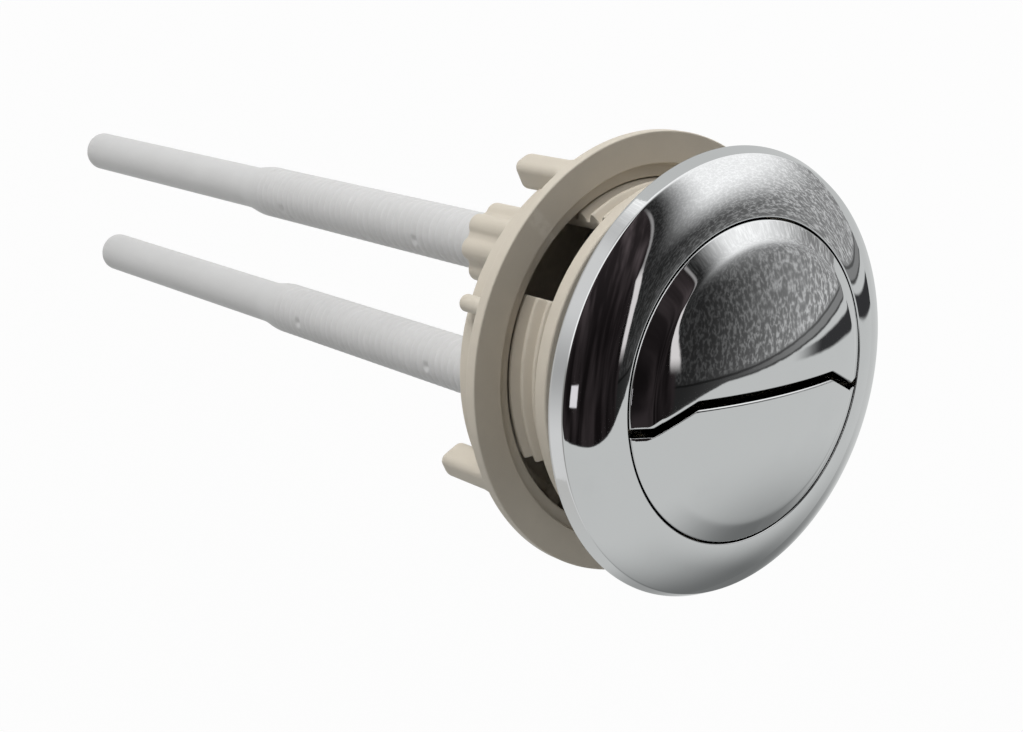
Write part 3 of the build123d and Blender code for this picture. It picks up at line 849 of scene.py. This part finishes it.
def grip_lug(angle):
    """One lug: a rounded rectangle carried down from the flange, wider at its root, rounded in at
    its tip and closed there."""
    down = np.concatenate(
        [
            np.linspace(FLANGE_REAR + 0.4, FLANGE_REAR - LUG_ROUND["root"], 12),
            np.linspace(FLANGE_REAR - LUG_ROUND["root"], LUG["tip"] + LUG_ROUND["tip"], 12)[1:],
            LUG["tip"] + LUG_ROUND["tip"] * (1 - np.sin(np.pi / 2 * np.linspace(0, 1, 10)))[1:],
        ]
    )[:, None]
    flare = edge_drop(FLANGE_REAR - down, LUG_ROUND["root"])
    tip = edge_drop(down - LUG["tip"], LUG_ROUND["tip"])
    wide, deep = LUG["half"], (LUG["outer"] - LUG["inner"]) / 2
    corners = [(-deep, -wide), (deep, -wide), (deep, wide), (-deep, wide)]
    loop = rounded([(*corner, LUG_ROUND["side"]) for corner in corners], steps=7)
    out = (LUG["outer"] + LUG["inner"]) / 2 + loop[:, 0] * (deep - 0.55 * tip) / deep
    side = loop[:, 1] * (wide + flare - tip) / wide
    out = np.vstack([out, np.full_like(out[:1], out[-1].mean())])
    side = np.vstack([side, np.zeros_like(side[:1])])
    down = np.vstack([down, down[-1:]])
    x = out * np.cos(angle) - side * np.sin(angle)
    y = out * np.sin(angle) + side * np.cos(angle)
    return np.stack(np.broadcast_arrays(x, y, down), axis=-1)


def peg(angle):
    """A small round peg with a rounded tip, turned about its own axis behind the flange."""
    outline = rounded(
        [
            (0, FLANGE_REAR + 0.4, 0),
            (PEG["radius"], FLANGE_REAR + 0.4, 0),
            (PEG["radius"], PEG["tip"], PEG["round"]),
            (0, PEG["tip"], 0),
        ],
        closed=False,
        steps=7,
    )
    return turned(outline, 40, (PEG["circle"] * np.cos(angle), PEG["circle"] * np.sin(angle)))


nut = piece(
    "clamp_nut_moulding",
    nut_ring(),
    *(grip_lug(angle) for angle in LUG_ANGLES),
    *(peg(angle) for angle in PEG_ANGLES),
)
dress(nut, beige_plastic, "beige_plastic", "clamp_nut", "clamp_nut")

# Adjusters. Beige lobed nuts with eight finger ridges, snapped over the bead at each plunger's
# end, so that they turn there and screw the push rod in or out.
SHOULDERS = {"full_flush": -35.6, "half_flush": -32.0}
ADJUSTER = {"bore": 4.45, "root": 5.4, "crest": 6.3, "lobe": 1.7, "length": 12.0}
SNAP_COLLAR = {"radius": 7.4, "height": 5.0, "clear": 5.8}
SNAP_GROOVE = {"radius": 6.2, "up": 1.7, "height": 1.4}


def lobe_share(angle):
    """How far the section stands out at an angle, from 0 in a groove to 1 on a ridge: the round of
    each lobe where it is outside the core, softened where the two meet."""
    a = ADJUSTER
    turn = (angle + np.pi / 8) % (np.pi / 4) - np.pi / 8
    centre = a["crest"] - a["lobe"]
    inside = np.maximum(a["lobe"] ** 2 - (centre * np.sin(turn)) ** 2, 0)
    lobe = centre * np.cos(turn) + np.sqrt(inside)
    stand = np.where(inside > 0, lobe, 0) - a["root"]
    return np.clip((stand + np.sqrt(stand**2 + 0.05)) / 2 / (a["crest"] - a["root"]), 0, 1)


def adjuster(side, step):
    """The adjuster as a loop of radius and height carried round the rod: two outlines, one over a
    ridge and one in a groove, blended by the share of the lobes."""
    a, c = ADJUSTER, SNAP_COLLAR
    end = step - a["length"]
    low = step + SNAP_GROOVE["up"]
    high = low + SNAP_GROOVE["height"]

    def outline(r):
        return rounded(
            [
                (a["bore"], end, 0.25),
                (r, end, 0.55),
                (r, step - c["radius"] + a["root"] - 0.4, 0.35),
                (c["radius"], step - 0.4, 0.4),
                (c["radius"], step + c["height"], 0.4),
                (c["clear"], step + c["height"], 0.3),
                (c["clear"], high, 0.1),
                (SNAP_GROOVE["radius"], high, 0.1),
                (SNAP_GROOVE["radius"], low, 0.1),
                (c["clear"], low, 0.1),
                (c["clear"], step, 0.1),
                (a["bore"], step, 0.15),
            ],
            steps=6,
        )

    angle = whole_turn(192)
    share = lobe_share(angle)
    furrow, ridge = outline(a["root"]), outline(a["crest"])
    radius = furrow[:, 0] + (ridge[:, 0] - furrow[:, 0]) * share
    height = furrow[:, 1] + (ridge[:, 1] - furrow[:, 1]) * share
    return polar(angle, radius, height, rod_axis(side))


for name, side in SIDES.items():
    turner = piece(f"{name}_adjuster_moulding", adjuster(side, SHOULDERS[name]))
    dress(turner, beige_plastic, "beige_plastic", f"{name}_adjuster", f"{name}_adjuster")

# Push rods. Milky white mouldings, threaded over their upper half, then a short cone and a plain
# lower end that presses on the flush valve. Two small ejector marks are sunk in each thread.
ROD = {"thread": 4.3, "plain": 3.6, "chamfer": 0.5}
ROD_LENGTHS = {"thread": 77.0, "cone": 6.4, "plain": 59.2}
ROD_TOPS = {"full_flush": -31.9, "half_flush": -27.2}
ROD_PITCH = 1.6
ROD_THREAD_DEPTH = 0.24
EJECTOR_MARKS = {
    "full_flush": ((-62.2, -164.4), (-100.4, -156.4)),
    "half_flush": ((-59.0, -172.7), (-95.7, -174.1)),
}
EJECTOR_RADIUS = 1.05
EJECTOR_DEPTH = 0.42


def push_rod(name, side):
    """A rod as a radius over height and angle: thread, cone and plain end, less the cosine groove
    of the thread, which climbs one pitch a turn, and less a soft pocket at each ejector mark."""
    top = ROD_TOPS[name]
    thread_end = top - ROD_LENGTHS["thread"]
    cone_end = thread_end - ROD_LENGTHS["cone"]
    tip = cone_end - ROD_LENGTHS["plain"]
    tip_rows = tip + ROD["chamfer"] * np.linspace(0, 1, 7) ** 2
    z = np.concatenate(
        [
            tip_rows,
            np.linspace(tip_rows[-1], cone_end, 40)[1:],
            np.linspace(cone_end, thread_end, 24)[1:],
            np.linspace(thread_end, top - ROD["chamfer"], 470)[1:],
            top - ROD["chamfer"] * (np.linspace(1, 0, 7) ** 2)[1:],
        ]
    )[:, None]
    angle = whole_turn(88).T
    swell = smooth_step((z - cone_end) / ROD_LENGTHS["cone"])
    radius = ROD["plain"] + (ROD["thread"] - ROD["plain"]) * swell
    radius = radius - edge_drop(np.minimum(z - tip, top - z), ROD["chamfer"])
    phase = z / ROD_PITCH - angle / (2 * np.pi)
    groove = (0.5 + 0.5 * np.cos(2 * np.pi * phase)) ** 2
    cut = smooth_step((z - thread_end) / 2.5) * smooth_step((top - z) / 1.5)
    radius = radius - ROD_THREAD_DEPTH * groove * cut
    for mark_z, mark_angle in EJECTOR_MARKS[name]:
        around = (angle - np.radians(mark_angle) + np.pi) % (2 * np.pi) - np.pi
        away = np.hypot(around * ROD["thread"], z - mark_z) / EJECTOR_RADIUS
        radius = radius - EJECTOR_DEPTH * (1 - smooth_step(away))
    radius = np.vstack([np.zeros_like(radius[:1]), radius, np.zeros_like(radius[:1])])
    z = np.vstack([z[:1], z, z[-1:]])
    return polar(angle, radius, z, rod_axis(side))


white_plastic = moulded_plastic(
    "milky white plastic",
    colour=(0.605, 0.604, 0.601),
    clouds=0.07,
    gloss=0.42,
    edge_colour=(0.68, 0.68, 0.675),
    # the colour of the painted shade in the hollows
    hollow_shade_colour=(0.34, 0.335, 0.33),
    grain=0.25,
)
for name, side in SIDES.items():
    rod = piece(f"{name}_push_rod", push_rod(name, side))
    dress(rod, white_plastic, "white_plastic", f"{name}_rod", f"{name}_rod")

# Floor. A plain sheet of matt paper, laid below the rods at their longest. The camera sees it as
# white, with a faint shadow of the object on it.
FLOOR_HEIGHT = -0.198
FLOOR_REACH = 9.0


def pale_floor():
    """A flat disc of rings about the axis, closed at its middle."""
    angle = whole_turn(96)
    radius = FLOOR_REACH / MM * np.linspace(0, 1, 13)[None, :] ** 2
    return polar(angle, radius, FLOOR_HEIGHT / MM)


def dot(tree, vector, direction):
    """How far a vector points along a direction."""
    inputs = {0: vector, 1: direction}
    return node(tree, "ShaderNodeVectorMath", inputs, operation="DOT_PRODUCT").outputs["Value"]


def floor_paper():
    """Matt white paper with a faint tooth, shown as nearly plain white to the camera. To glossy
    rays it shows a painted reflection of a pale grey table, with a painted shadow where it runs
    far under the object."""
    material, tree, shader = new_material("pale floor paper")
    place = node(tree, "ShaderNodeTexCoord").outputs["Object"]
    tooth = noise(tree, place, 900.0, 3.0)
    paper = blend_colour(tree, tooth, (0.86, 0.86, 0.86, 1), (0.90, 0.90, 0.90, 1))
    connect(tree, shader, {"Base Color": paper, "Roughness": 0.9})
    path = node(tree, "ShaderNodeLightPath").outputs
    seen = math_node(tree, "MAXIMUM", path["Is Camera Ray"], path["Is Transmission Ray"])
    flat = node(tree, "ShaderNodeVectorMath", {0: place}, operation="NORMALIZE").outputs[0]
    # Painted reflection and painted shadow: glossy rays see grey, darkened far under the object.
    under = ramp(tree, dot(tree, flat, (0.574, -0.819, 0)), 0.80, 0.97)
    left = ramp(tree, dot(tree, flat, (-1, 0, 0)), 0.2, 0.8)
    painted_reflection = blend_colour(tree, under, (0.64, 0.65, 0.645, 1), (0.19, 0.195, 0.195, 1))
    painted_reflection = blend_colour(tree, left, painted_reflection, (0.62, 0.615, 0.60, 1))
    shown = blend_colour(tree, seen, painted_reflection, (1, 1, 1, 1))
    white = node(tree, "ShaderNodeEmission", {"Color": shown, "Strength": 1.0}).outputs[0]
    bright = math_node(tree, "MAXIMUM", seen, path["Is Glossy Ray"])
    share = math_node(tree, "MULTIPLY", bright, 0.96)
    mixed = node(tree, "ShaderNodeMixShader", {0: share, 1: shader.outputs["BSDF"], 2: white})
    connect(tree, tree.nodes["Material Output"], {"Surface": mixed.outputs["Shader"]})
    return material


floor = piece("pale_floor", pale_floor())
floor.data.materials.append(floor_paper())

# Light. A plain soft studio: the surroundings are a pale table on the lower side, a grey stippled
# wall beside the buttons and a dark room behind the camera, which the chrome mirrors; one
# large soft lamp lights the plastic from above, and a weaker one fills its far side.
CAMERA_PLACE = (-0.16084, 0.05739, 0.15232)
CAMERA_RIGHT = (0.7742, 0.0137, 0.6328)
CAMERA_UP = (0.1474, 0.9683, -0.2014)
CAMERA_BACK = (-0.6155, 0.2493, 0.7476)
TABLE_UP = (0.1204, 0.9757, 0.1826)
WINDOW_AXES = ((0.913, -0.054, 0.405), (-0.025, 0.982, 0.188))


def studio_world():
    """Light by direction. A pale table fills the lower side, shaded under the object. Above it
    stands a hammered wall over a smooth skirting, with a bright ceiling and a pale left side; the
    room behind the camera is dark, with a bright door gap beside the wall and a small window.
    A white card at the left shows only in the chrome, as the bright line on the bezel's edge, and
    the camera itself sees plain white past the floor."""
    world = bpy.data.worlds.new("soft studio")
    bpy.context.scene.world = world
    world.use_nodes = True
    tree = world.node_tree
    way = node(tree, "ShaderNodeTexCoord").outputs["Generated"]

    def facing(direction):
        return dot(tree, way, direction)

    def mask(value, low, high):
        return ramp(tree, value, low, high)

    def mix(share, a, b):
        return blend_colour(tree, share, a, b)

    def off(value):
        return math_node(tree, "ABSOLUTE", value)

    def times(*parts):
        result = parts[0]
        for part in parts[1:]:
            result = math_node(tree, "MULTIPLY", result, part)
        return result

    def spread(value, low, high):
        return math_node(tree, "ADD", low, math_node(tree, "MULTIPLY", value, high - low))

    def above(line, slope):
        return math_node(tree, "SUBTRACT", over, spread(back, line, line + slope))

    over, back, right = facing(TABLE_UP), facing(CAMERA_BACK), facing(CAMERA_RIGHT)
    leaning = spread(math_node(tree, "MINIMUM", over, 0.40), 0.50, 0.90)
    gap = math_node(tree, "SUBTRACT", back, leaning)
    on_wall = mask(gap, 0.010, -0.010)

    skirting = above(0.075, -0.12)
    tall = stretched(tree, way, (1.0, 0.60, 1.0))
    cells = node(tree, "ShaderNodeTexVoronoi", {"Vector": tall, "Scale": 58.0}, feature="F1")
    worn = mask(noise(tree, tall, 140.0, 1.0), 0.36, 0.60)
    ridges = times(mask(cells.outputs["Distance"], 0.34, 0.66), worn)
    hammered = spread(times(ridges, mask(skirting, 0.0, 0.02)), 0.80, 2.25)
    joint = mask(off(skirting), 0.002, 0.007)
    wall = spread(mask(back, 0.50, -0.25), 0.026, 0.325)
    wall = times(wall, hammered, spread(joint, 0.4, 1.0))
    ceiling = times(mask(over, 0.36, 0.70), mask(back, 0.62, 0.30))
    wall = times(wall, spread(ceiling, 1.0, 0.0))
    wall = math_node(tree, "ADD", wall, times(ceiling, spread(ridges, 1.08, 1.30)))

    bands = noise(tree, stretched(tree, way, (9.0, 1.5, 3.0)), 1.0, 3.0)
    streaks = spread(mask(bands, 0.40, 0.70), 0.35, 1.6)
    dark = times(streaks, spread(mask(over, 0.15, 0.75), 0.018, 0.060))
    room = mix(on_wall, scaled(tree, (1.15, 0.93, 0.98), dark), wall)

    high = mask(over, 0.47, 0.38)
    beside = math_node(tree, "SUBTRACT", off(gap), spread(high, 0.006, 0.022))
    door = times(mask(beside, 0.008, -0.004), mask(over, 0.06, 0.14))
    door = times(door, mask(over, 0.86, 0.74))
    daylight = mix(high, (0.34, 0.33, 0.33, 1), (0.84, 0.80, 0.80, 1))
    room = mix(door, room, daylight)
    across = off(facing(WINDOW_AXES[0]))
    upright = off(facing(WINDOW_AXES[1]))
    window = times(mask(across, 0.060, 0.045), mask(upright, 0.065, 0.055))
    window = times(window, mask(back, 0.3, 0.6))
    room = mix(window, room, (0.9, 0.87, 0.9, 1))

    edge = math_node(tree, "ADD", above(0.042, -0.09), times(mask(back, 0.25, 0.80), 0.30))
    shade = times(mask(over, -0.22, -0.60), mask(back, 0.22, -0.55))
    table = mix(shade, (0.655, 0.665, 0.66, 1), (0.175, 0.18, 0.18, 1))
    slab = times(mask(above(0.035, 0.09), -0.006, 0.006), mask(over, 0.056, 0.044))
    slab = times(slab, mask(back, -0.08, -0.30))
    table = mix(slab, table, (0.04, 0.04, 0.042, 1))
    room = mix(mask(edge, 0.014, 0.006), room, (0.06, 0.06, 0.06, 1))
    scene = mix(mask(edge, -0.002, 0.006), table, room)
    outwards = facing((0.0, 0.0, 1.0))
    level = mask(off(outwards), 0.35, 0.12)
    from_edge = off(math_node(tree, "ADD", over, 0.05))
    curtain = spread(mask(from_edge, 0.0, 0.5), 0.47, 0.78)
    pale = mix(level, (0.30, 0.295, 0.285, 1), curtain)
    scene = mix(mask(right, -0.05, -0.40), scene, pale)
    card = times(mask(outwards, 0.18, 0.28), mask(outwards, 0.62, 0.52))
    card = times(card, mask(over, -0.05, 0.25), mask(right, 0.16, 0.04))
    path = node(tree, "ShaderNodeLightPath").outputs
    card = times(card, path["Is Glossy Ray"])
    scene = mix(card, scene, (1.2, 1.2, 1.2, 1))
    seen = math_node(tree, "MAXIMUM", path["Is Camera Ray"], path["Is Transmission Ray"])
    scene = mix(seen, scene, (0.975, 0.975, 0.975, 1))
    connect(tree, tree.nodes["Background"], {"Color": scene, "Strength": 1.0})


def stand(data, right, up, back, place):
    """Puts a lamp or a camera in the scene at a place; it looks away from its back axis."""
    made = bpy.data.objects.new(data.name, data)
    bpy.context.scene.collection.objects.link(made)
    axes = np.column_stack([right, up, back, place])
    made.matrix_world = Matrix(np.vstack([axes, (0, 0, 0, 1)]))
    return made


def soft_lamp(name, place, target, size, power):
    """A rectangular soft lamp that faces a point and isn't mirrored in the chrome."""
    data = bpy.data.lights.new(name, "AREA")
    data.shape = "RECTANGLE"
    data.size, data.size_y = size
    data.energy = power
    away = np.array(place) - np.array(target)
    away /= np.linalg.norm(away)
    side = np.cross((0.0, 1.0, 0.0), away)
    side /= np.linalg.norm(side)
    lamp = stand(data, side, np.cross(away, side), away, place)
    lamp.visible_glossy = False


studio_world()
soft_lamp("key lamp", (-0.45, 0.85, -0.02), (0.0, 0.0, -0.06), (0.7, 0.5), 8.5)
soft_lamp("fill lamp", (0.75, 0.25, -0.05), (0.0, 0.0, -0.08), (0.7, 0.7), 3.0)

# Camera. It stands at the photograph's angle, above the buttons and a little to one side, and is
# rolled so that the rods run off to the left.
camera_data = bpy.data.cameras.new("camera")
camera_data.sensor_width = 36.0
camera_data.lens = 61.58
camera = stand(camera_data, CAMERA_RIGHT, CAMERA_UP, CAMERA_BACK, CAMERA_PLACE)
bpy.context.scene.camera = camera
bpy.context.scene.view_settings.view_transform = "Standard"
